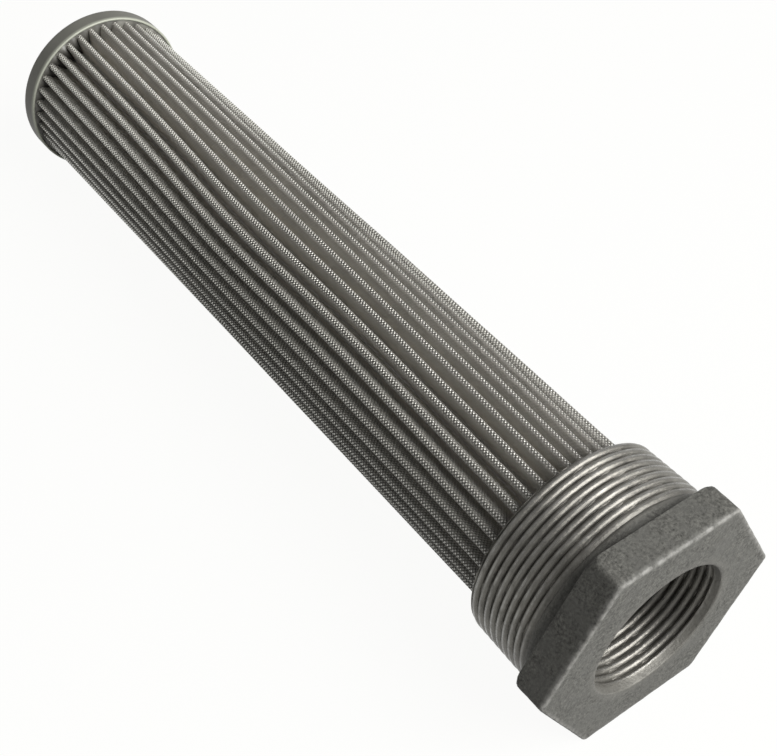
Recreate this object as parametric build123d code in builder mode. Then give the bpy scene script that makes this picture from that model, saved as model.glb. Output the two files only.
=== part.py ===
"""In-tank suction strainer: a pleated wire cloth element potted into a hex reducing bushing.

The axis of the strainer is X. The back of the hex head, where the tank thread starts, lies on the
plane x = 0. The port opens towards +X, the element reaches towards -X, and a hex flat faces down.
All sizes are in millimetres.
"""

import os
from math import asin, atan2, cos, degrees, radians, sin

from build123d import *

os.makedirs("parts", exist_ok=True)

# Whole strainer, from the outer hex face to the closed end
overall_length = 266.7

# Hex head of the bushing
hex_sides = 6
hex_across_flats = 63.0
hex_height = 9.5
hex_corner_radius = 1.6
hex_edge_chamfer = 0.5
hex_bevel_length = 1.8
hex_bevel_depth = 1.1

# Tank thread, outside of the bushing: 2 inch taper pipe thread, as the surface over its crests
tank_thread_radius = 30.16
tank_thread_length = 23.8
tank_thread_straight = 9.0
pipe_taper = 1 / 32
lip_chamfer = 0.7

# Port in the hex face: 1 1/4 inch taper pipe thread, as the drilled wall inside its crests
port_radius = 19.05
port_depth = 19.0
port_mouth_widening = 0.9
port_mouth_depth = 2.4
passage_radius = 16.8
passage_chamfer = 1.2
passage_length = 2.1

# Socket in the small end of the bushing, where the element is potted
lip_wall = 2.7
bushing_potting_recess = 3.0

# Core tube
core_seat_width = 1.2
core_wall = 0.8
core_hole_radius = 6.0
core_hole_sides = 8
core_holes_around = 3
core_row_pitch = 40.0
core_end_margin = 14.0

# Pleated wire cloth
cloth_thickness = 0.4
cloth_socket_clearance = 1.0
cloth_core_clearance = 0.3
pleat_count = 36
pleat_phase = 5.6
crest_radius = 0.95
valley_radius = 0.85
element_end_clearance = 1.0

# Seam clip, folded over the crest where the two ends of the cloth meet
clip_thickness = 0.4
clip_valley_clearance = 2.2
clip_pleat = 26

# End cap
cap_cloth_clearance = 0.8
cap_wall = 0.8
cap_skirt = 6.4
cap_edge_chamfer = 1.0
cap_potting_recess = 0.6

# Places along the axis
bushing_end = -tank_thread_length
port_floor = hex_height - port_depth
passage_start = port_floor - passage_chamfer
socket_floor = passage_start - passage_length
cap_outside = hex_height - overall_length
cap_floor = cap_outside + cap_wall
cap_rim = cap_outside + cap_skirt
cap_potting_top = cap_rim - cap_potting_recess
bushing_potting_top = bushing_end + bushing_potting_recess
element_far = cap_floor + element_end_clearance
cloth_near = socket_floor - element_end_clearance

# Radii that follow from the sizes above
hex_flat_radius = hex_across_flats / 2
hex_corner = hex_flat_radius / cos(radians(180 / hex_sides))
tank_thread_small = tank_thread_radius - pipe_taper * (tank_thread_length - tank_thread_straight)
lip_radius = tank_thread_small - lip_chamfer
socket_radius = lip_radius - lip_wall
core_radius = passage_radius + core_seat_width
cloth_radius = socket_radius - cloth_socket_clearance
cap_inner_radius = cloth_radius + cap_cloth_clearance
cap_radius = cap_inner_radius + cap_wall

# Rows of holes in the core tube, as many as fit between the two potted ends
core_hole_angle = 360 / core_holes_around
core_rows_length = bushing_potting_top - cap_potting_top - 2 * core_end_margin
core_rows = 1 + int(core_rows_length / core_row_pitch)


def on_circle(radius, angle):
    """Point at a radius and an angle in degrees, in a sketch across the axis."""
    return Vector(radius * cos(radians(angle)), radius * sin(radians(angle)))


# A pleat: straight flanks between a crest fold and a valley fold, with the cloth's wall between
pleat_angle = 360 / pleat_count
cloth_inner_radius = core_radius + cloth_core_clearance
crest_centre_radius = cloth_radius - crest_radius
valley_centre_radius = cloth_inner_radius + valley_radius
centre_step = on_circle(valley_centre_radius, pleat_angle / 2) - on_circle(crest_centre_radius, 0)
flank_lean = asin((crest_radius + valley_radius - cloth_thickness) / centre_step.length)
flank_length = centre_step.length * cos(flank_lean)
clip_leg = flank_length - clip_valley_clearance
flank_normal = degrees(atan2(centre_step.Y, centre_step.X) + flank_lean) - 90


def crest_points(turn, radius):
    """Two flank points and the top of a crest fold of a given radius, in order round the axis."""
    centre = on_circle(crest_centre_radius, turn)
    start = centre + on_circle(radius, turn - flank_normal)
    end = centre + on_circle(radius, turn + flank_normal)
    return start, on_circle(crest_centre_radius + radius, turn), end


def valley_points(turn, radius):
    """Two flank points and the bottom of a valley fold of a given radius, in order round the axis."""
    centre = on_circle(valley_centre_radius, turn)
    start = centre - on_circle(radius, turn - pleat_angle / 2 + flank_normal)
    end = centre - on_circle(radius, turn + pleat_angle / 2 - flank_normal)
    return start, on_circle(valley_centre_radius - radius, turn), end


def cloth_outer_face():
    """Closed outline of the cloth's outer face, which runs round over every crest."""
    for pleat in range(pleat_count):
        turn = pleat_phase + pleat * pleat_angle
        start, top, end = crest_points(turn, crest_radius)
        ThreePointArc(start, top, end)
        valley = valley_points(turn + pleat_angle / 2, valley_radius - cloth_thickness)
        Polyline(end, *valley, crest_points(turn + pleat_angle, crest_radius)[0])


def cloth_inner_face():
    """Closed outline of the cloth's inner face, creased in every fold."""
    points = []
    for pleat in range(pleat_count):
        turn = pleat_phase + pleat * pleat_angle
        points += crest_points(turn, crest_radius - cloth_thickness)
        points += valley_points(turn + pleat_angle / 2, valley_radius)
    Polyline(*points, close=True)


# Hex reducing bushing
with BuildPart() as hex_bushing:
    with BuildSketch(Plane.YZ) as hex_outline:
        RegularPolygon(radius=hex_flat_radius, side_count=hex_sides, major_radius=False)
        fillet(hex_outline.vertices(), hex_corner_radius)
    extrude(amount=hex_height)
    chamfer(hex_bushing.faces().sort_by(Axis.X)[-1].edges(), hex_edge_chamfer)
    # The corners are bevelled off at the back of the head
    with BuildSketch(Plane.XY):
        with BuildLine():
            Polyline(
                (hex_height, 0),
                (hex_height, hex_corner),
                (hex_bevel_length, hex_corner),
                (0, hex_corner - hex_bevel_depth),
                (0, 0),
                close=True,
            )
        make_face()
    revolve(axis=Axis.X, mode=Mode.INTERSECT)
    # Shank with the tank thread: straight by the head, then tapered to the lip
    with BuildSketch(Plane.XY):
        with BuildLine():
            Polyline(
                (0, 0),
                (0, tank_thread_radius),
                (-tank_thread_straight, tank_thread_radius),
                (bushing_end + lip_chamfer, tank_thread_small),
                (bushing_end, lip_radius),
                (bushing_end, 0),
                close=True,
            )
        make_face()
    revolve(axis=Axis.X)
    # Port, passage and socket, one behind the other
    with BuildSketch(Plane.XY):
        with BuildLine():
            Polyline(
                (hex_height, 0),
                (hex_height, port_radius + port_mouth_widening),
                (hex_height - port_mouth_depth, port_radius),
                (port_floor, port_radius),
                (passage_start, passage_radius),
                (socket_floor, passage_radius),
                (socket_floor, socket_radius),
                (bushing_end, socket_radius),
                (bushing_end, 0),
                close=True,
            )
        make_face()
    revolve(axis=Axis.X, mode=Mode.SUBTRACT)
hex_bushing.part.label = "hex_bushing"
export_step(hex_bushing.part, "parts/hex_bushing.step")

# Pleated wire cloth
with BuildPart() as pleated_cloth:
    with BuildSketch(Plane.YZ.offset(element_far)):
        with BuildLine():
            cloth_outer_face()
        make_face()
        with BuildLine():
            cloth_inner_face()
        make_face(mode=Mode.SUBTRACT)
    extrude(amount=cloth_near - element_far)
pleated_cloth.part.label = "pleated_cloth"
export_step(pleated_cloth.part, "parts/pleated_cloth.step")

# Seam clip, a folded strip that grips the crest where the ends of the cloth meet
with BuildPart() as seam_clip:
    with BuildSketch(Plane.YZ.offset(cap_potting_top)):
        with BuildLine():
            clip_turn = pleat_phase + clip_pleat * pleat_angle
            outer_start, outer_top, outer_end = crest_points(clip_turn, crest_radius + clip_thickness)
            inner_start, inner_top, inner_end = crest_points(clip_turn, crest_radius)
            start_leg = on_circle(clip_leg, clip_turn - flank_normal - 90)
            end_leg = on_circle(clip_leg, clip_turn + flank_normal + 90)
            ThreePointArc(outer_start, outer_top, outer_end)
            Polyline(outer_end, outer_end + end_leg, inner_end + end_leg, inner_end)
            ThreePointArc(inner_end, inner_top, inner_start)
            Polyline(inner_start, inner_start + start_leg, outer_start + start_leg, outer_start)
        make_face()
    extrude(amount=bushing_potting_top - cap_potting_top)
seam_clip.part.label = "seam_clip"
export_step(seam_clip.part, "parts/seam_clip.step")

# Core tube, with staggered rows of holes
with BuildPart() as core_tube:
    with BuildSketch(Plane.YZ.offset(element_far)):
        Circle(core_radius)
        Circle(core_radius - core_wall, mode=Mode.SUBTRACT)
    extrude(amount=socket_floor - element_far)
    for row in range(core_rows):
        row_place = cap_potting_top + core_end_margin + row * core_row_pitch
        row_turn = (row % 2) * core_hole_angle / 2
        hole_turns = [radians(row_turn + hole * core_hole_angle) for hole in range(core_holes_around)]
        hole_planes = [
            Plane(origin=(row_place, 0, 0), x_dir=(1, 0, 0), z_dir=(0, cos(turn), sin(turn)))
            for turn in hole_turns
        ]
        with BuildSketch(*hole_planes):
            RegularPolygon(radius=core_hole_radius, side_count=core_hole_sides)
        extrude(amount=core_radius + core_wall, mode=Mode.SUBTRACT)
core_tube.part.label = "core_tube"
export_step(core_tube.part, "parts/core_tube.step")

# End cap, a shallow drawn cup
with BuildPart() as end_cap:
    with BuildSketch(Plane.YZ.offset(cap_outside)):
        Circle(cap_radius)
    extrude(amount=cap_skirt)
    chamfer(end_cap.faces().sort_by(Axis.X)[0].edges(), cap_edge_chamfer)
    with BuildSketch(Plane.YZ.offset(cap_floor)):
        Circle(cap_inner_radius)
    extrude(amount=cap_skirt, mode=Mode.SUBTRACT)
end_cap.part.label = "end_cap"
export_step(end_cap.part, "parts/end_cap.step")

# Potting in the end cap, a disc with a groove in which the cloth and the core tube stand
with BuildPart() as cap_potting:
    with BuildSketch(Plane.YZ.offset(cap_floor)):
        Circle(cap_inner_radius)
    extrude(amount=cap_potting_top - cap_floor)
    with BuildSketch(Plane.YZ.offset(element_far)):
        Circle(cloth_radius)
        Circle(core_radius - core_wall, mode=Mode.SUBTRACT)
    extrude(amount=cap_potting_top - element_far, mode=Mode.SUBTRACT)
cap_potting.part.label = "cap_potting"
export_step(cap_potting.part, "parts/cap_potting.step")

# Potting in the socket of the bushing, a ring with a groove in which the cloth stands
with BuildPart() as bushing_potting:
    with BuildSketch(Plane.YZ.offset(bushing_potting_top)):
        Circle(socket_radius)
        Circle(core_radius, mode=Mode.SUBTRACT)
    extrude(amount=socket_floor - bushing_potting_top)
    with BuildSketch(Plane.YZ.offset(bushing_potting_top)):
        Circle(cloth_radius)
        Circle(core_radius, mode=Mode.SUBTRACT)
    extrude(amount=cloth_near - bushing_potting_top, mode=Mode.SUBTRACT)
bushing_potting.part.label = "bushing_potting"
export_step(bushing_potting.part, "parts/bushing_potting.step")
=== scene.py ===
"""Looks of the in-tank suction strainer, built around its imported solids.

Every place is in metres in the part's own frame: the axis is X, the port opens towards +X, the
element reaches towards -X, and the tank thread starts at x = 0. Angles round the axis are in
degrees from +Y towards +Z.
"""
import math

import bpy
import numpy as np
from mathutils import Matrix, Vector, noise


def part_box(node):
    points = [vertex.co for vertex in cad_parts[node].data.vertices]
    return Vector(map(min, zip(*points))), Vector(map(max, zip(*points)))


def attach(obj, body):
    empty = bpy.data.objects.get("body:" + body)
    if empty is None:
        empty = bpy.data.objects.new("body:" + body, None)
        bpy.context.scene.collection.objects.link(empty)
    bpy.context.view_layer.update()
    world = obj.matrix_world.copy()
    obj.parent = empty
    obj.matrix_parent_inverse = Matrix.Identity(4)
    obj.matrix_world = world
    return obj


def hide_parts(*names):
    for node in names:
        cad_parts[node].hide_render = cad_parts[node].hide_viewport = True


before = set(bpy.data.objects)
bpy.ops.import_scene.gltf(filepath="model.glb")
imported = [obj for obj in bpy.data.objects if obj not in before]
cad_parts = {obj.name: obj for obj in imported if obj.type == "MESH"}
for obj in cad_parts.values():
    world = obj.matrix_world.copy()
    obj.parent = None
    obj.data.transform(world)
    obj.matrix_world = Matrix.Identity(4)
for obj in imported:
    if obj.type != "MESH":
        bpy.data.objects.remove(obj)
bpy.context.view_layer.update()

MM = 0.001
BODY = "root"

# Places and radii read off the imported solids
bushing_low, bushing_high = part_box("hex_bushing")
cap_low, cap_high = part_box("end_cap")
cloth_low, cloth_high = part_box("pleated_cloth")
core_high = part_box("core_tube")[1]
cap_potting_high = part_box("cap_potting")[1]
bushing_potting_low, bushing_potting_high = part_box("bushing_potting")
hex_face = bushing_high.x
hex_flat = bushing_high.z
lip_end = bushing_low.x
cap_radius = cap_high.z
cap_rim = cap_high.x
socket_radius = bushing_potting_high.z
socket_floor = bushing_potting_high.x
core_radius = core_high.z

# Bushing: sizes that the solids share
hex_sides = 6
hex_corner_radius = 1.6 * MM
hex_edge_radius = 0.7 * MM
hex_bevel_length = 1.8 * MM
hex_bevel_depth = 1.1 * MM
tank_thread_radius = 30.16 * MM
tank_thread_straight = 9.0 * MM
pipe_taper = 1 / 32
lip_chamfer = 0.7 * MM
port_radius = 19.05 * MM
port_depth = 19.0 * MM
port_mouth_widening = 0.9 * MM
port_mouth_depth = 2.4 * MM
passage_radius = 16.8 * MM
passage_chamfer = 1.2 * MM

# Bushing: form of the threads, where they fade out, and from which height their crests are bright
thread_pitch = 2.209 * MM
thread_height = 1.0 * MM
crest_fullness = 2.4
tank_thread_inset = 0.04 * MM
tank_thread_fade = (-7.0 * MM, -1.2 * MM)
tank_crest_start = 0.55
port_thread_fade = (0.3 * MM, 4.0 * MM)
port_crest_start = 0.6

# Bushing: how closely its skin is divided, and the small steps between its surfaces
corner_half_angle = 2.4
corner_points = 9
flat_points = 33
face_rings = 18
edge_turns = (22, 45, 68)
side_rings = 11
side_end = 0.12 * MM
back_step = 0.25 * MM
back_shares = (0.35, 0.7, 1)
shank_rings = 152
lip_rings = 4
socket_rings = 5
socket_floor_shares = (0.5, 1)
port_rings = 104
port_end_gap = 0.2 * MM
face_start_gap = 0.25 * MM

# Bushing: unevenness of the cast skin
cast_roughness = 0.10 * MM
cast_lump = 3.2 * MM
cast_grain = 0.9 * MM
cast_mean = 0.5
cast_share = 0.5
cast_limit = 1.6
cast_skin_fade = (-5.5 * MM, -1.5 * MM)
edge_push = 0.7
back_push = 0.6

# Bushing: how far its surfaces are cut and worn, from 0 to 1
face_cut = 0.25
face_cut_end = 0.25
face_wear = 0.35
face_wear_start = 0.93
edge_wear = 0.5
side_wear = 0.6
side_wear_length = 1.6 * MM
back_wear = 0.1
lip_cut = 0.8
lip_wear = 0.2
socket_cut = 0.8
socket_floor_cut = 0.6
passage_cut = 0.3
mouth_cut_loss = 0.5

# Cloth: section of a pleat
pleat_count = 36
pleat_angle = 360 / pleat_count
pleat_phase = 5.6
cloth_radius = 25.3 * MM
cloth_inner_radius = 18.3 * MM
cloth_thickness = 0.4 * MM
crest_fold_radius = 0.95 * MM
valley_fold_radius = 0.85 * MM
crest_steps = 7
valley_steps = 5
cloth_rows = 96

# Cloth: how the pleats wander along the element, as turns in degrees, places and widths
pleat_twist = 13.5
sway_turn = 3.8
sway_place = -150 * MM
sway_length = 36 * MM
sway_centre = 125
sway_width = 38
fan_turn = 5.0
fan_centre = 48
fan_width = 26
crest_wander = 0.45
crest_dip = 0.16 * MM
wander_length = 35 * MM
wander_step = 7.3
wander_shifts = (0, 3.1)
held_length = 12 * MM

# Cloth: how far its wires are worn bright over a pleat, from 0 to 1; the ridge is partly worn and partly
# a painted glint, and the flanks carry painted glints
crest_reach = 1.5
crest_lean = 0.2
ridge_gain = 2.2
ridge_loss = 1.2
lit_flank_glint = 0.3
far_ridge_glint = 0.8
far_flank_glint = 0.6
narrowed_places = (-120 * MM, -220 * MM)
narrowing = 0.9

# Cloth: painted light on its wires over a pleat, from 0 to 1: paler in the shaded valley and on the
# falling flank, darker on the ridge and the rising flank where the lamp falls
ridge_fill_paint = 0.3
falling_flank_fill_paint = 0.6
valley_fill_paint = (1, 0.9)
rising_flank_fill_paint = 0.45

# Cloth: sides with painted light, each as its centre and the angles from it where that fades: painted
# glints on the falling flanks of the side towards the lamp and of the shaded side, and painted shade on
# the side towards the lamp
glint_side = (20, 18, 44)
# Painted shade: on this side the painted fill light on the wires is cut down, by the share below
shade_painted_side = (20, 26, 68)
shade_painted_side_loss = 0.65
shaded_side = (168, 24, 52)
shaded_side_glint = 0.65

# Cloth: distance from wire to wire
wire_pitch_across = 0.61 * MM
wire_pitch_along = 0.515 * MM

# End cap
cap_wall = 0.8 * MM
cap_edge_radius = 1.2 * MM
cap_columns = 240
cap_face_rings = 12
cap_edge_turns = (22.5, 45, 67.5, 90)
cap_skirt_rings = 5
cap_skirt_start = 2 * MM
cap_rim_turns = (30, 60, 90, 120, 150, 180)
# Where the cap starts and stops growing lighter, before its rim
cap_lighter_start = 1.2 * MM
cap_lighter_end = 0.2 * MM
hub_radius = 0.5 * MM

# Core tube and potting
core_wall = 0.8 * MM
cap_potting_climb = 1.4 * MM
bushing_potting_climb = 1.0 * MM
potting_points = 8
potting_shares = (0, 0.15, 0.35, 0.6, 0.8, 1)
rise_width = 1.4
rise_fullness = 0.7
potting_lumps = 3
potting_mean = 0.5
potting_spread = 0.8
potting_least = 0.05

# Seam clip
clip_pleat = 26
clip_wall = 0.4 * MM
clip_leg = 3.2 * MM
clip_rings = 60


def smooth(edge_low, edge_high, value):
    """Goes from 0 to 1 between two edges, level at both."""
    t = np.clip((value - edge_low) / (edge_high - edge_low), 0, 1)
    return t * t * (3 - 2 * t)


def waves(points, size, octaves=3):
    """Smooth noise from about -1 to 1 at each point, with lumps of a given size."""
    fading, fineness = 1.0, 2.0
    flat = points.reshape(-1, 3) / size
    values = [noise.fractal(Vector(p), fading, fineness, octaves) for p in flat]
    return np.array(values).reshape(points.shape[:-1])


def rings_at(x, radius, angles):
    """Points of one ring. x and radius are one number or one per angle; angles in radians."""
    return np.stack(
        np.broadcast_arrays(x, radius * np.cos(angles), radius * np.sin(angles)), axis=-1
    )


def skin(name, points, marks=None, uv=None, loop=False, fan=False, sharp=40, inward=False):
    """Closed mesh over rings of equally many points, each ring closed on itself.

    loop joins the last ring to the first, and fan closes the first and the last ring. marks are
    values per point, uv two values per point, and sharp the angle over which an edge stays hard.
    inward turns the faces round, for rings that run the other way.
    """
    rows, columns = points.shape[:2]
    row, column = np.meshgrid(
        np.arange(rows if loop else rows - 1), np.arange(columns), indexing="ij"
    )
    after, beside = (row + 1) % rows, (column + 1) % columns
    corners = np.stack([
        row * columns + column, row * columns + beside,
        after * columns + beside, after * columns + column,
    ], axis=-1).reshape(-1, 4)
    if inward:
        corners = corners[:, ::-1]
    faces = corners.tolist()
    if fan:
        first, last = list(range(columns)), list(range((rows - 1) * columns, rows * columns))
        faces += [first, last[::-1]] if inward else [first[::-1], last]
    mesh = bpy.data.meshes.new(name)
    mesh.from_pydata(points.reshape(-1, 3).tolist(), [], faces)
    if uv is not None:
        wrap = uv[:, :1].copy()
        wrap[..., 0] += uv_turn(uv)
        across = np.concatenate([uv, wrap], axis=1)
        corner_uv = np.stack([
            across[row, column], across[row, column + 1],
            across[after, column + 1], across[after, column],
        ], axis=-2).reshape(-1, 4, 2)
        if inward:
            corner_uv = corner_uv[:, ::-1]
        layer = mesh.uv_layers.new(name="weave")
        layer.data.foreach_set("uv", corner_uv.reshape(-1))
    for mark, values in (marks or {}).items():
        layer = mesh.attributes.new(mark, "FLOAT", "POINT")
        layer.data.foreach_set("value", np.broadcast_to(values, (rows, columns)).reshape(-1))
    mesh.update()
    mesh.polygons.foreach_set("use_smooth", [True] * len(mesh.polygons))
    mesh.set_sharp_from_angle(angle=math.radians(sharp))
    thing = bpy.data.objects.new(name, mesh)
    bpy.context.scene.collection.objects.link(thing)
    return thing


def uv_turn(uv):
    """How far the first value of a uv grows over one whole ring."""
    return 2 * uv[0, -1, 0] - uv[0, -2, 0] - uv[0, 0, 0]


# Building the bushing
def bushing_angles():
    """Angles round the bushing in radians, close together at the corners of the hex."""
    sector_angle = 360 / hex_sides
    near = np.linspace(-corner_half_angle, corner_half_angle, corner_points)
    between = np.linspace(corner_half_angle, sector_angle - corner_half_angle, flat_points)[1:-1]
    sector = np.concatenate([near, between])
    return np.radians(np.concatenate([sector + sector_angle * k for k in range(hex_sides)]))


def hex_outline(angles):
    """Radius of the hex with rounded corners at each angle."""
    half = math.pi / hex_sides
    off = np.mod(angles + half, 2 * half) - half
    corner = hex_flat / math.cos(half)
    centre = corner - hex_corner_radius / math.cos(half)
    flat = hex_flat / np.cos(np.abs(off) - half)
    reach = np.maximum(hex_corner_radius**2 - (centre * np.sin(off)) ** 2, 0)
    rounded = centre * np.cos(off) + np.sqrt(reach)
    tangent = math.atan2(
        hex_corner_radius * math.sin(half), centre + hex_corner_radius * math.cos(half)
    )
    return np.where(np.abs(off) < tangent, rounded, flat)


def thread_wave(x, angles):
    """Height of a right-handed thread's flank, from 0 in the root to 1 on the crest."""
    turn = x / thread_pitch - angles / (2 * math.pi)
    return 1 - np.abs(2 * (turn - np.floor(turn)) - 1)


def tank_thread(x, angles):
    """Radius of the shank at a place, and how near to a crest it is."""
    blank = tank_thread_radius + pipe_taper * min(0, x + tank_thread_straight)
    chamfer = blank - max(0, lip_chamfer - (x - lip_end))
    full = 1 - float(smooth(*tank_thread_fade, x))
    wave = thread_wave(x, angles)
    radius = np.minimum(blank - thread_height * full * (1 - wave) ** crest_fullness, chamfer)
    return radius - tank_thread_inset, full * smooth(tank_crest_start, 1, wave)


def mouth_share(x):
    """How far a place in the port belongs to its widened mouth, from 0 to 1."""
    return float(smooth(hex_face - port_mouth_depth, hex_face - port_mouth_depth / 2, x))


def port_thread(x, angles):
    """Radius of the port's wall at a place, and how near to a crest it is."""
    mouth = port_radius + port_mouth_widening * max(0, 1 - (hex_face - x) / port_mouth_depth)
    full = float(smooth(*port_thread_fade, x - (hex_face - port_depth))) * (1 - mouth_share(x))
    wave = thread_wave(x, angles)
    cut = port_radius + thread_height * full * (1 - wave) ** crest_fullness
    return np.maximum(cut, mouth), full * smooth(port_crest_start, 1, wave)


def build_bushing():
    """Hex bushing as one closed skin: head, tank thread, lip, socket, passage and port."""
    angles = bushing_angles()
    outline = hex_outline(angles)
    rings = []

    def add(x, radius, machined, bright, push=(0, 0)):
        """One ring, with its marks and the direction in which its cast skin is uneven."""
        rings.append((
            rings_at(x, radius, angles), np.broadcast_to(machined, angles.shape),
            np.broadcast_to(bright, angles.shape), rings_at(*push, angles),
        ))

    inner = port_radius + port_mouth_widening + face_start_gap
    for share in np.linspace(0, 1, face_rings):
        radius = inner + (outline - hex_edge_radius - inner) * share
        cut = face_cut * (1 - smooth(0, face_cut_end, share))
        add(hex_face, radius, cut, face_wear * smooth(face_wear_start, 1, share), (-1, 0))
    for turn in np.radians(edge_turns):
        x = hex_face - hex_edge_radius * (1 - math.cos(turn))
        radius = outline - hex_edge_radius * (1 - math.sin(turn))
        add(x, radius, 0, edge_wear, (-edge_push, -edge_push))
    corner = hex_flat / math.cos(math.pi / hex_sides)
    for x in np.linspace(hex_face - hex_edge_radius, side_end, side_rings):
        limit = corner - hex_bevel_depth * (1 - min(1, x / hex_bevel_length))
        wear = side_wear * smooth(hex_face - side_wear_length, hex_face, x)
        add(x, np.minimum(outline, limit), 0, wear, (0, -1))
    back = np.minimum(outline, corner - hex_bevel_depth) - back_step
    add(0, back, 0, back_wear, (0, -back_push))
    foot = tank_thread_radius + back_step
    for share in back_shares:
        add(0, foot + (back - foot) * (1 - share), 0, 0)
    for x in np.linspace(-back_step, lip_end, shank_rings):
        radius, crest = tank_thread(x, angles)
        plain = float(smooth(*cast_skin_fade, x))
        add(x, radius, 1 - plain, crest * (1 - plain), (0, -plain))
    lip_radius = radius
    for share in np.linspace(0, 1, lip_rings + 1)[1:]:
        add(lip_end, lip_radius + (socket_radius - lip_radius) * share, lip_cut, lip_wear)
    for x in np.linspace(lip_end, socket_floor, socket_rings + 1)[1:]:
        add(x, socket_radius, socket_cut, 0)
    for share in socket_floor_shares:
        radius = socket_radius + (passage_radius - socket_radius) * share
        add(socket_floor, radius, socket_floor_cut, 0)
    port_floor = hex_face - port_depth
    add(port_floor - passage_chamfer, passage_radius, passage_cut, 0, (0, 1))
    for x in np.linspace(port_floor, hex_face - port_end_gap, port_rings):
        radius, crest = port_thread(x, angles)
        add(x, radius, 1 - mouth_cut_loss * mouth_share(x), crest)
    points, machined, bright, push = (np.stack(part) for part in zip(*rings))
    uneven = cast_mean + cast_share * waves(points, cast_lump)
    uneven = uneven + cast_share * waves(points, cast_grain, octaves=2)
    points = points + push * (cast_roughness * np.clip(uneven, 0, cast_limit))[..., None]
    marks = {"machined": machined, "bright": bright}
    piece = skin("bushing_cast", points, marks, loop=True, sharp=50, inward=True)
    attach(piece, BODY)
    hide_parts("hex_bushing")
    return piece


# Building the cloth
def pleat_turn(x, angles):
    """How far a pleat has turned, in degrees, at a place along the axis."""
    along = (x - cloth_low.x) / (cloth_high.x - cloth_low.x)
    off = np.mod(angles - sway_centre + 180, 360) - 180
    sway = sway_turn * np.exp(-(((x - sway_place) / sway_length) ** 2) - (off / sway_width) ** 2)
    off = np.mod(angles - fan_centre + 180, 360) - 180
    fan = fan_turn * along**2 * np.exp(-((off / fan_width) ** 2))
    return pleat_twist * along + sway + fan


def pleat_section(side):
    """Outline of one pleat from its crest to the next, as complex numbers.

    side is 0 on the outer face and 1 on the inner face of the cloth.
    """
    half = math.pi / pleat_count
    crest_centre = cloth_radius - crest_fold_radius
    valley_centre = cloth_inner_radius + valley_fold_radius
    step = complex(valley_centre * math.cos(half) - crest_centre, valley_centre * math.sin(half))
    lean = math.asin((crest_fold_radius + valley_fold_radius - cloth_thickness) / abs(step))
    normal = math.atan2(step.imag, step.real) + lean - math.pi / 2
    crest = crest_fold_radius - side * cloth_thickness
    valley = valley_fold_radius - (1 - side) * cloth_thickness
    turns = np.linspace(-normal, normal, crest_steps)
    over = crest_centre + crest * np.exp(1j * turns)
    turns = np.linspace(normal - half, half - normal, valley_steps)
    under = (valley_centre - valley * np.exp(1j * turns)) * np.exp(1j * half)
    flank_down = (over[-1] + under[0]) / 2
    flank_up = (under[-1] + over[0] * np.exp(2j * half)) / 2
    return np.concatenate([over, [flank_down], under, [flank_up]])


def cloth_face(side):
    """Complex outline of one whole face of the cloth, crest by crest."""
    turns = np.radians(pleat_phase + pleat_angle * np.arange(pleat_count))
    return (np.exp(1j * turns)[:, None] * pleat_section(side)[None]).reshape(-1)


def crest_share():
    """How bright the wires are worn at each point of a pleat's outline, in pleat_section's order.

    The ridge is partly worn bright and partly a painted glint, and the flank that rises to it, where the
    lamp falls, carries a painted glint.
    """
    turns = np.linspace(-crest_reach, crest_reach, crest_steps)
    ridge = np.clip(ridge_gain * np.cos(turns + crest_lean) - ridge_loss, 0, 1)
    over = np.maximum(ridge, np.where(turns < 0, lit_flank_glint, 0))
    return np.concatenate([over, np.zeros(valley_steps + 1), [lit_flank_glint]])


def far_share():
    """How far a painted glint can reach on the flank that falls from a ridge, in the same order."""
    over = far_ridge_glint * (np.linspace(-crest_reach, crest_reach, crest_steps) > 0)
    return np.concatenate([over, [far_flank_glint], np.zeros(valley_steps), [0]])


def cloth_fill_paint():
    """How much painted light lifts the wires at each point of a pleat's outline, in the same order.

    The ridge and the flank that rises to it, where the lamp falls, are painted darker; the other flank
    and the valley, which lie in shade, are painted paler.
    """
    turns = np.linspace(-crest_reach, crest_reach, crest_steps)
    over = ridge_fill_paint * np.clip(turns / crest_reach, 0, 1)
    valley = np.linspace(*valley_fill_paint, valley_steps)
    return np.concatenate([over, [falling_flank_fill_paint], valley, [rising_flank_fill_paint]])


def side_share(face, places, centre, near, far):
    """How far each point belongs to one side of the cloth.

    It is 1 up to the near angle from the side's centre, and 0 beyond the far angle.
    """
    angles = np.degrees(np.angle(face))
    rings = []
    for x in places:
        off = np.mod(angles + pleat_turn(x, angles) - centre + 180, 360) - 180
        rings.append(1 - smooth(near, far, np.abs(off)))
    return np.stack(rings)


def crest_shifts(x):
    """Noise for each pleat at a place: the first value turns its crest, the second lowers it."""
    return np.array([
        [noise.noise(Vector((x / wander_length, wander_step * k + shift, 0))) for shift in wander_shifts]
        for k in range(pleat_count)
    ])


def cloth_rings(face, places):
    """Rings of a face of the cloth at given places, turned and bent as the pleats wander."""
    angles, radii = np.degrees(np.angle(face)), np.abs(face)
    pleats = np.repeat(np.arange(pleat_count), len(face) // pleat_count)
    height = np.clip((radii - cloth_inner_radius) / (cloth_radius - cloth_inner_radius), 0, 1)
    rings = []
    for x in places:
        shift, dip = crest_shifts(x)[pleats].T
        free = float(smooth(0, held_length, x - cap_rim) * smooth(0, held_length, lip_end - x))
        turned = angles + pleat_turn(x, angles) + crest_wander * free * shift * height
        lowered = radii - crest_dip * free * (0.5 + 0.5 * dip) * height
        rings.append(rings_at(x, lowered, np.radians(turned)))
    return np.stack(rings)


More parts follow.
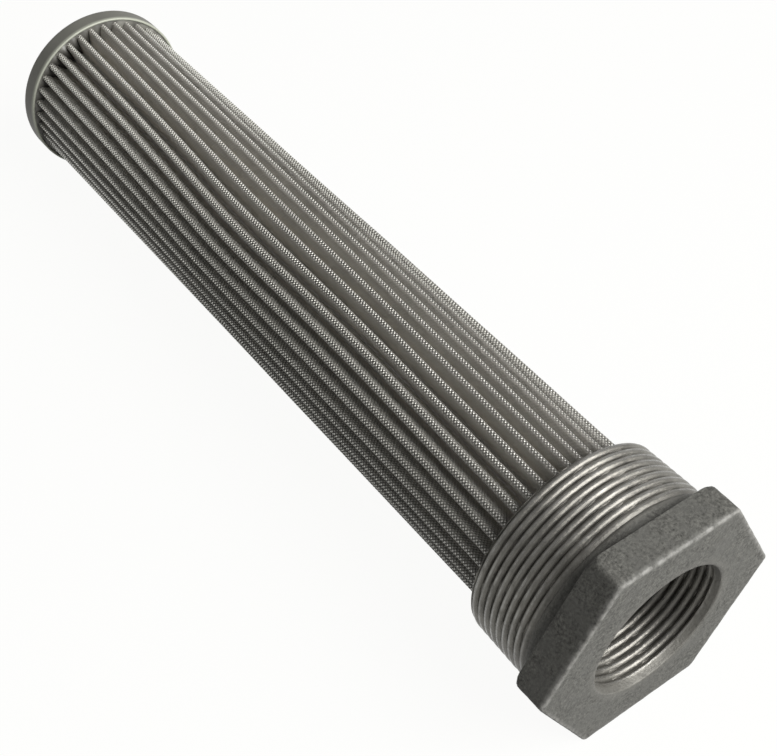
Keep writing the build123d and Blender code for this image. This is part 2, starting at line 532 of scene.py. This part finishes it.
def build_cloth():
    """Pleated wire cloth, a closed wall with its outer and its inner face."""
    places = np.linspace(cloth_low.x, cloth_high.x, cloth_rows)
    outer, inner = cloth_face(0), cloth_face(1)
    points = np.concatenate([cloth_rings(outer, places), cloth_rings(inner, places[::-1])])
    ring_places = np.concatenate([places, places[::-1]])[:, None]
    run = np.concatenate([[0], np.cumsum(np.abs(np.diff(outer)))])
    uv = np.stack(np.broadcast_arrays(run[None], ring_places), axis=-1)
    glint_part, shade_painted_part, shaded = [
        np.concatenate([side_share(outer, places, *side), side_share(inner, places[::-1], *side)])
        for side in (glint_side, shade_painted_side, shaded_side)
    ]
    power = 1 + narrowing * smooth(*narrowed_places, ring_places)
    # The crest mark is partly wear and partly painted glints: on the ridges, on the rising flanks, and
    # on the falling flanks of two sides
    crest = np.tile(crest_share(), pleat_count) ** power
    far_glint = np.maximum(glint_part, shaded_side_glint * shaded) * np.tile(far_share(), pleat_count)
    # Painted light on the wires: paler in shade, and less so on the side where the lamp falls, which is
    # painted shade
    fill_paint = np.tile(cloth_fill_paint(), pleat_count) * (1 - shade_painted_side_loss * shade_painted_part)
    marks = {"crest": np.maximum(crest, far_glint), "fill_paint": fill_paint}
    piece = skin("wire_cloth", points, marks, uv=uv, loop=True, sharp=70)
    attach(piece, BODY)
    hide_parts("pleated_cloth")
    return piece


# Building the end cap
def build_cap():
    """Drawn end cap: a shallow cup with a rounded closed edge and a rounded rim."""
    angles = np.linspace(0, 2 * math.pi, cap_columns, endpoint=False)
    outside = cap_low.x
    rim_radius = cap_wall / 2
    path = [(outside, r) for r in np.linspace(hub_radius, cap_radius - cap_edge_radius, cap_face_rings)]
    for turn in np.radians(cap_edge_turns):
        path.append((
            outside + cap_edge_radius * (1 - math.cos(turn)),
            cap_radius - cap_edge_radius * (1 - math.sin(turn)),
        ))
    skirt = np.linspace(outside + cap_skirt_start, cap_rim - rim_radius, cap_skirt_rings)
    path += [(x, cap_radius) for x in skirt]
    for turn in np.radians(cap_rim_turns):
        path.append((
            cap_rim - rim_radius * (1 - math.sin(turn)),
            cap_radius - rim_radius * (1 - math.cos(turn)),
        ))
    path += [(outside + cap_wall, cap_radius - cap_wall), (outside + cap_wall, hub_radius)]
    points = np.stack([rings_at(x, r, angles) for x, r in path])
    # The cap is lighter towards its rim
    bright = [smooth(cap_rim - cap_lighter_start, cap_rim - cap_lighter_end, x) for x, _ in path]
    piece = skin("cap_drawn", points, {"bright": np.array(bright)[:, None]}, fan=True, sharp=50)
    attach(piece, BODY)
    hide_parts("end_cap")
    return piece


# Building the potting
def build_potting(name, node, back, top, outer, inner, heart, climb, away):
    """Potting whose open face climbs in the valleys between the pleats.

    back and top are the places of its hidden and its open face. It is a ring between the outer and
    the inner radius, or a disc if heart is smaller than inner. climb is how far it rises, and away
    is 1 if its open face looks towards +X, or -1 if it looks towards -X.
    """
    angles = np.linspace(0, 2 * math.pi, pleat_count * potting_points, endpoint=False)
    degrees = np.degrees(angles)
    turned = degrees - pleat_phase - pleat_turn(cap_rim if away > 0 else lip_end, degrees)
    valley = 0.5 - 0.5 * np.cos(np.radians(turned * pleat_count))
    lumps = np.array([
        noise.noise(Vector((potting_lumps * math.cos(a), potting_lumps * math.sin(a), away)))
        for a in angles
    ])
    uneven = np.clip(potting_mean + potting_spread * lumps, potting_least, 1)
    disc = heart < inner
    path = [(back, heart, 0), (back, outer, 0)]
    for share in potting_shares:
        rise = math.sin(math.pi * min(1, share * rise_width)) ** rise_fullness
        path.append((top, outer + (inner - outer) * share, rise))
    if disc:
        path.append((top, heart, 0))
    rings = [
        rings_at(x + away * climb * rise * uneven * valley, radius, angles)
        for x, radius, rise in path
    ]
    piece = skin(name, np.stack(rings), loop=not disc, fan=disc, sharp=50, inward=away < 0)
    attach(piece, BODY)
    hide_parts(node)
    return piece


# Building the seam clip
def build_clip():
    """Folded strip over the crest where the ends of the cloth meet."""
    section = pleat_section(0)[:crest_steps]
    centre = cloth_radius - crest_fold_radius
    scale = (crest_fold_radius + clip_wall) / crest_fold_radius
    around = centre + (section - centre) * scale
    end_leg, start_leg = [
        clip_leg * (section[i] - centre) / abs(section[i] - centre) * turn
        for i, turn in ((-1, 1j), (0, -1j))
    ]
    outline = np.concatenate([
        around, [around[-1] + end_leg, section[-1] + end_leg],
        section[::-1], [section[0] + start_leg, around[0] + start_leg],
    ])
    outline = outline * np.exp(1j * math.radians(pleat_phase + clip_pleat * pleat_angle))
    angles, radii = np.degrees(np.angle(outline)), np.abs(outline)
    middle = math.degrees(np.angle(outline.mean()))
    rings = [
        rings_at(x, radii, np.radians(angles + pleat_turn(x, middle)))
        for x in np.linspace(cap_potting_high.x, bushing_potting_low.x, clip_rings)
    ]
    piece = skin("seam_strip", np.stack(rings), fan=True, sharp=40)
    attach(piece, BODY)
    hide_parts("seam_clip")
    return piece


# Materials
class Finish:
    """A node material, built up one node at a time."""

    def __init__(self, name):
        self.material = bpy.data.materials.new(name)
        self.material.use_nodes = True
        self.tree = self.material.node_tree
        self.shader = self.tree.nodes["Principled BSDF"]

    def node(self, kind, inputs=(), **settings):
        """Adds a node. inputs maps a socket to a value or to another node's output."""
        made = self.tree.nodes.new(kind)
        for key, value in settings.items():
            setattr(made, key, value)
        for key, value in dict(inputs).items():
            self.plug(made.inputs[key], value)
        return made

    def plug(self, socket, value):
        """Gives a socket a value, or links it."""
        if isinstance(value, bpy.types.NodeSocket):
            self.tree.links.new(value, socket)
        else:
            socket.default_value = value

    def math(self, operation, *values):
        """Output of a Math node."""
        return self.node("ShaderNodeMath", enumerate(values), operation=operation).outputs[0]

    def times(self, first, second):
        """Product of two values."""
        return self.math("MULTIPLY", first, second)

    def noise(self, scale, detail=3, rough=0.6):
        """Output of a noise over the object's own coordinates, with scale lumps to the metre."""
        place = self.node("ShaderNodeTexCoord").outputs["Object"]
        inputs = {"Vector": place, "Scale": scale, "Detail": detail, "Roughness": rough}
        return self.node("ShaderNodeTexNoise", inputs).outputs[0]

    def turned_lines(self, along, around):
        """Output of a noise drawn out round the X axis, as turning leaves it on a surface."""
        place = self.node("ShaderNodeTexCoord").outputs["Object"]
        inputs = {"Vector": place, "Scale": (along, around, around)}
        stretched = self.node("ShaderNodeMapping", inputs).outputs[0]
        inputs = {"Vector": stretched, "Scale": 1.0, "Detail": 2}
        return self.node("ShaderNodeTexNoise", inputs).outputs[0]

    def ramp(self, value, start, end):
        """A value spread from 0 to 1 between two limits."""
        inputs = {"Value": value, "From Min": start, "From Max": end}
        return self.node("ShaderNodeMapRange", inputs).outputs[0]

    def between(self, share, none, full):
        """Value that goes from none at a share of 0 to full at a share of 1."""
        inputs = {"Value": share, "To Min": none, "To Max": full}
        return self.node("ShaderNodeMapRange", inputs).outputs[0]

    def blend(self, share, none, full):
        """Colour that goes from none to full. Each is three numbers or another node's output."""
        made = self.node("ShaderNodeMix", {0: share}, data_type="RGBA")
        for socket, colour in ((made.inputs[6], none), (made.inputs[7], full)):
            self.plug(socket, (*colour, 1) if isinstance(colour, tuple) else colour)
        return made.outputs[2]

    def mark(self, name):
        """Value that a mesh carries at its points."""
        return self.node("ShaderNodeAttribute", attribute_name=name).outputs["Fac"]

    def bump(self, height, depth, strength, under=None):
        """Bump of a height from 0 to 1, over another bump."""
        inputs = {"Height": height, "Distance": depth, "Strength": strength}
        made = self.node("ShaderNodeBump", inputs)
        if under is not None:
            self.plug(made.inputs["Normal"], under)
        return made.outputs[0]

    def give(self, **sockets):
        """Sets or links the shader's sockets."""
        for name, value in sockets.items():
            self.plug(self.shader.inputs[name.replace("_", " ")], value)
        return self.material


def cast_iron():
    """Bare malleable iron: sandy cast skin, cut threads with bright crests."""
    pit, sand, stain = (0.019, 0.0184, 0.0164), (0.099, 0.0975, 0.087), (0.066, 0.065, 0.059)
    dark_cut, light_cut = (0.09, 0.086, 0.0765), (0.153, 0.147, 0.1305)
    worn_metal, worn_gloss = (0.25, 0.245, 0.23), 0.14
    finish = Finish("cast_iron")
    machined, bright = finish.mark("machined"), finish.mark("bright")
    grain = finish.noise(scale=1200, detail=4, rough=0.75)
    blotch = finish.noise(scale=160, detail=4)
    skin_colour = finish.blend(finish.ramp(grain, start=0.32, end=0.68), pit, sand)
    skin_colour = finish.blend(finish.ramp(blotch, start=0.4, end=0.75), skin_colour, stain)
    cut_colour = finish.blend(finish.ramp(blotch, start=0.3, end=0.7), dark_cut, light_cut)
    colour = finish.blend(machined, skin_colour, cut_colour)
    worn = finish.times(bright, finish.ramp(finish.noise(scale=420), start=0.3, end=0.62))
    rough = finish.between(machined, none=0.66, full=0.33)
    lines = finish.times(finish.turned_lines(along=5000, around=160), machined)
    rise = finish.times(grain, finish.between(machined, none=1.0, full=0.55))
    turned = finish.bump(lines, depth=0.08 * MM, strength=0.6)
    return finish.give(
        Base_Color=finish.blend(worn, colour, worn_metal),
        Metallic=finish.between(machined, none=0.15, full=0.7),
        Roughness=finish.math("SUBTRACT", rough, finish.times(worn, worn_gloss)),
        Specular_IOR_Level=0.2,
        Normal=finish.bump(rise, depth=0.3 * MM, strength=0.75, under=turned),
    )


def woven_wire():
    """Plain-woven stainless wire: bright knuckles on the crests, even grey wire in the valleys.

    Near the cap the knuckles look wider. The knuckles on the crests are partly worn bright and partly
    painted glints, and away from the bushing they are painted brighter, with darker gaps, for how the
    light falls there.
    """
    # Places where the knuckles widen, and where they grow brighter as a painted highlight
    widening, glint_brightening = (-140 * MM, -215 * MM), (-20 * MM, -130 * MM)
    # Wire colours of the painted light: dark where the lamp falls, light grey in shade
    shade_painted_wire, grey_wire, pale_wire = (0.13, 0.125, 0.113), (0.66, 0.62, 0.55), (0.755, 0.71, 0.63)
    # Gaps and knuckles near the bushing and towards the cap; the white knuckles are painted glints
    gap_near_bushing, gap_towards_cap = (0.075, 0.072, 0.065), (0.012, 0.0115, 0.01)
    knuckle_near_bushing, knuckle_towards_cap = (0.44, 0.43, 0.385), (1.0, 0.985, 0.88)
    valley_gap, valley_gap_share = (0.12, 0.115, 0.105), 0.2
    wire_mean, wire_rise = 0.5, 0.35
    knuckle_metal, knuckle_shine = 0.35, 0.7
    finish = Finish("woven_wire")
    crest, fill_paint = finish.mark("crest"), finish.mark("fill_paint")
    uv = finish.node("ShaderNodeUVMap", uv_map="weave").outputs[0]
    place = finish.node("ShaderNodeSeparateXYZ", {0: uv})
    around, along = place.outputs[0], place.outputs[1]
    crossing = finish.times(
        finish.math("SINE", finish.times(around, math.pi / wire_pitch_across)),
        finish.math("SINE", finish.times(along, math.pi / wire_pitch_along)),
    )
    wide = finish.ramp(along, *widening)
    least = finish.between(wide, none=0.08, full=-0.22)
    most = finish.between(wide, none=0.6, full=0.2)
    knuckle = finish.ramp(crossing, least, most)
    gap = finish.ramp(finish.math("ABSOLUTE", crossing), start=0.3, end=0.02)
    cloud = finish.ramp(finish.noise(scale=70), start=0.3, end=0.7)
    # Painted light: the wire is painted paler in shade and darker where the lamp falls
    wire = finish.blend(fill_paint, shade_painted_wire, finish.blend(cloud, grey_wire, pale_wire))
    wire = finish.blend(finish.times(gap, valley_gap_share), wire, valley_gap)
    # Painted highlight: the knuckles are painted brighter and their gaps darker away from the bushing
    brightening = finish.ramp(along, *glint_brightening)
    ridge = finish.blend(
        knuckle,
        finish.blend(brightening, gap_near_bushing, gap_towards_cap),
        finish.blend(brightening, knuckle_near_bushing, knuckle_towards_cap),
    )
    rise = finish.math("MULTIPLY_ADD", crossing, wire_rise, wire_mean)
    strength = finish.between(crest, none=0.25, full=1.0)
    normal = finish.bump(rise, depth=0.4 * MM, strength=strength)
    glint = finish.times(crest, knuckle)
    metal = finish.times(glint, knuckle_metal)
    shine = finish.times(knuckle, knuckle_shine)
    return finish.give(
        Base_Color=finish.blend(crest, wire, ridge),
        Metallic=metal,
        Roughness=finish.between(metal, none=0.5, full=0.0),
        Specular_IOR_Level=finish.between(crest, none=0.3, full=shine),
        Coat_Weight=glint,
        Coat_Roughness=0.25,
        Coat_IOR=2.2,
        Coat_Normal=normal,
        Subsurface_Weight=finish.between(crest, none=1.0, full=0.0),
        Subsurface_Radius=(1, 1, 1),
        Subsurface_Scale=3 * MM,
        Normal=normal,
    )


def drawn_steel():
    """Dull drawn sheet with fine marks round the axis and a lighter rim."""
    dark_sheet, light_sheet = (0.091, 0.0895, 0.077), (0.112, 0.1105, 0.095)
    lighter_rim, lighter_rim_share = (0.30, 0.31, 0.256), 0.7
    finish = Finish("drawn_steel")
    cloud = finish.ramp(finish.noise(scale=90, detail=4), start=0.3, end=0.7)
    colour = finish.blend(cloud, dark_sheet, light_sheet)
    lines = finish.turned_lines(along=4000, around=120)
    return finish.give(
        Base_Color=finish.blend(finish.times(finish.mark("bright"), lighter_rim_share), colour, lighter_rim),
        Metallic=0.15,
        Roughness=0.55,
        Normal=finish.bump(lines, depth=0.02 * MM, strength=0.5),
    )


def rolled_steel():
    """Plain rolled strip of the core tube and the seam clip."""
    dark_strip, light_strip = (0.22, 0.22, 0.21), (0.32, 0.32, 0.31)
    finish = Finish("rolled_steel")
    cloud = finish.ramp(finish.noise(scale=120, detail=4), start=0.3, end=0.7)
    return finish.give(
        Base_Color=finish.blend(cloud, dark_strip, light_strip),
        Metallic=0.7,
        Roughness=0.42,
        Normal=finish.bump(finish.noise(scale=900), depth=0.05 * MM, strength=0.4),
    )


def cured_resin():
    """Grey cured resin, slightly glossy and lumpy."""
    dark_resin, light_resin = (0.06, 0.0575, 0.05), (0.12, 0.117, 0.102)
    finish = Finish("cured_resin")
    cloud = finish.ramp(finish.noise(scale=90), start=0.5, end=0.62)
    return finish.give(
        Base_Color=finish.blend(cloud, dark_resin, light_resin),
        Metallic=0.0,
        Roughness=0.45,
        Normal=finish.bump(finish.noise(scale=700), depth=0.1 * MM, strength=0.5),
    )


def studio_floor():
    """Pale floor that the camera and reflections see as nearly white, with the part's shadow."""
    dark_floor, light_floor = (0.40, 0.40, 0.395), (0.42, 0.42, 0.415)
    glow_colour, glow_share = (1, 1, 0.99, 1), 0.95
    finish = Finish("studio_floor")
    colour = finish.blend(finish.noise(scale=6, detail=2), dark_floor, light_floor)
    finish.give(Base_Color=colour, Metallic=0.0, Roughness=0.9)
    rays = finish.node("ShaderNodeLightPath").outputs
    seen = finish.math("MAXIMUM", rays["Is Camera Ray"], rays["Is Glossy Ray"])
    seen = finish.math("MAXIMUM", seen, rays["Is Transmission Ray"])
    glow = finish.node("ShaderNodeEmission", {"Color": glow_colour, "Strength": 1.0}).outputs[0]
    inputs = {0: finish.times(seen, glow_share), 1: finish.shader.outputs[0], 2: glow}
    mixed = finish.node("ShaderNodeMixShader", inputs).outputs[0]
    finish.plug(finish.tree.nodes["Material Output"].inputs["Surface"], mixed)
    return finish.material


def dress(piece, material):
    """Gives a piece one material."""
    piece.data.materials.clear()
    piece.data.materials.append(material)


# All pieces
dress(build_bushing(), cast_iron())
dress(build_cloth(), woven_wire())
dress(build_cap(), drawn_steel())
resin = cured_resin()
cap_potting = build_potting(
    "potting_cap", "cap_potting",
    back=cap_low.x + cap_wall, top=cap_potting_high.x,
    outer=cap_radius - cap_wall, inner=core_radius - core_wall, heart=hub_radius,
    climb=cap_potting_climb, away=1,
)
dress(cap_potting, resin)
bushing_potting = build_potting(
    "potting_bushing", "bushing_potting",
    back=socket_floor, top=bushing_potting_low.x,
    outer=socket_radius, inner=core_radius, heart=core_radius,
    climb=bushing_potting_climb, away=-1,
)
dress(bushing_potting, resin)
steel = rolled_steel()
dress(build_clip(), steel)
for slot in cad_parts["core_tube"].material_slots:
    slot.material = steel

# Floor, which tilts a little so that the hex and the rim of the cap both lie on it
floor_size = 6.0
rest_slope = (hex_flat - cap_radius) / -cap_rim
floor_corners = [
    (x, y, -hex_flat - x * rest_slope)
    for x, y in (
        (-floor_size, -floor_size), (floor_size, -floor_size),
        (floor_size, floor_size), (-floor_size, floor_size),
    )
]
floor_mesh = bpy.data.meshes.new("floor")
floor_mesh.from_pydata(floor_corners, [], [(0, 1, 2, 3)])
floor = bpy.data.objects.new("floor", floor_mesh)
bpy.context.scene.collection.objects.link(floor)
dress(floor, studio_floor())

# Camera, where the photograph was taken from
camera_place = Vector((0.11615, -0.16572, 0.27458))
camera_target = Vector((-0.09268, -0.00183, -0.00109))
camera_roll = 1.906
camera_lens = 65.53
camera_data = bpy.data.cameras.new("camera")
camera_data.sensor_width = 36
camera_data.lens = camera_lens
camera_data.clip_start = 0.01
camera = bpy.data.objects.new("camera", camera_data)
bpy.context.scene.collection.objects.link(camera)
look = (camera_target - camera_place).to_track_quat("-Z", "Y").to_matrix().to_4x4()
roll = Matrix.Rotation(math.radians(camera_roll), 4, "Z")
camera.matrix_world = Matrix.Translation(camera_place) @ look @ roll
bpy.context.scene.camera = camera

# Light
lamp_target = Vector((-0.11, 0, 0))
lamp_distance = 1.0
world_strength = 0.38


def lamp(name, direction, size, power):
    """Square soft lamp that faces the middle of the element."""
    data = bpy.data.lights.new(name, "AREA")
    data.shape, data.size, data.energy = "SQUARE", size, power
    thing = bpy.data.objects.new(name, data)
    bpy.context.scene.collection.objects.link(thing)
    place = lamp_target + Vector(direction).normalized() * lamp_distance
    turn = (lamp_target - place).to_track_quat("-Z", "Y").to_matrix().to_4x4()
    thing.matrix_world = Matrix.Translation(place) @ turn


lamp("key", direction=(0.70, 0.36, 0.62), size=0.9, power=32)
lamp("rim", direction=(-0.55, 0.75, 0.35), size=0.5, power=0.4)
world = bpy.data.worlds.new("studio")
world.use_nodes = True
world.node_tree.nodes["Background"].inputs["Color"].default_value = (1, 1, 1, 1)
world.node_tree.nodes["Background"].inputs["Strength"].default_value = world_strength
bpy.context.scene.world = world
bpy.context.scene.view_settings.view_transform = "Standard"
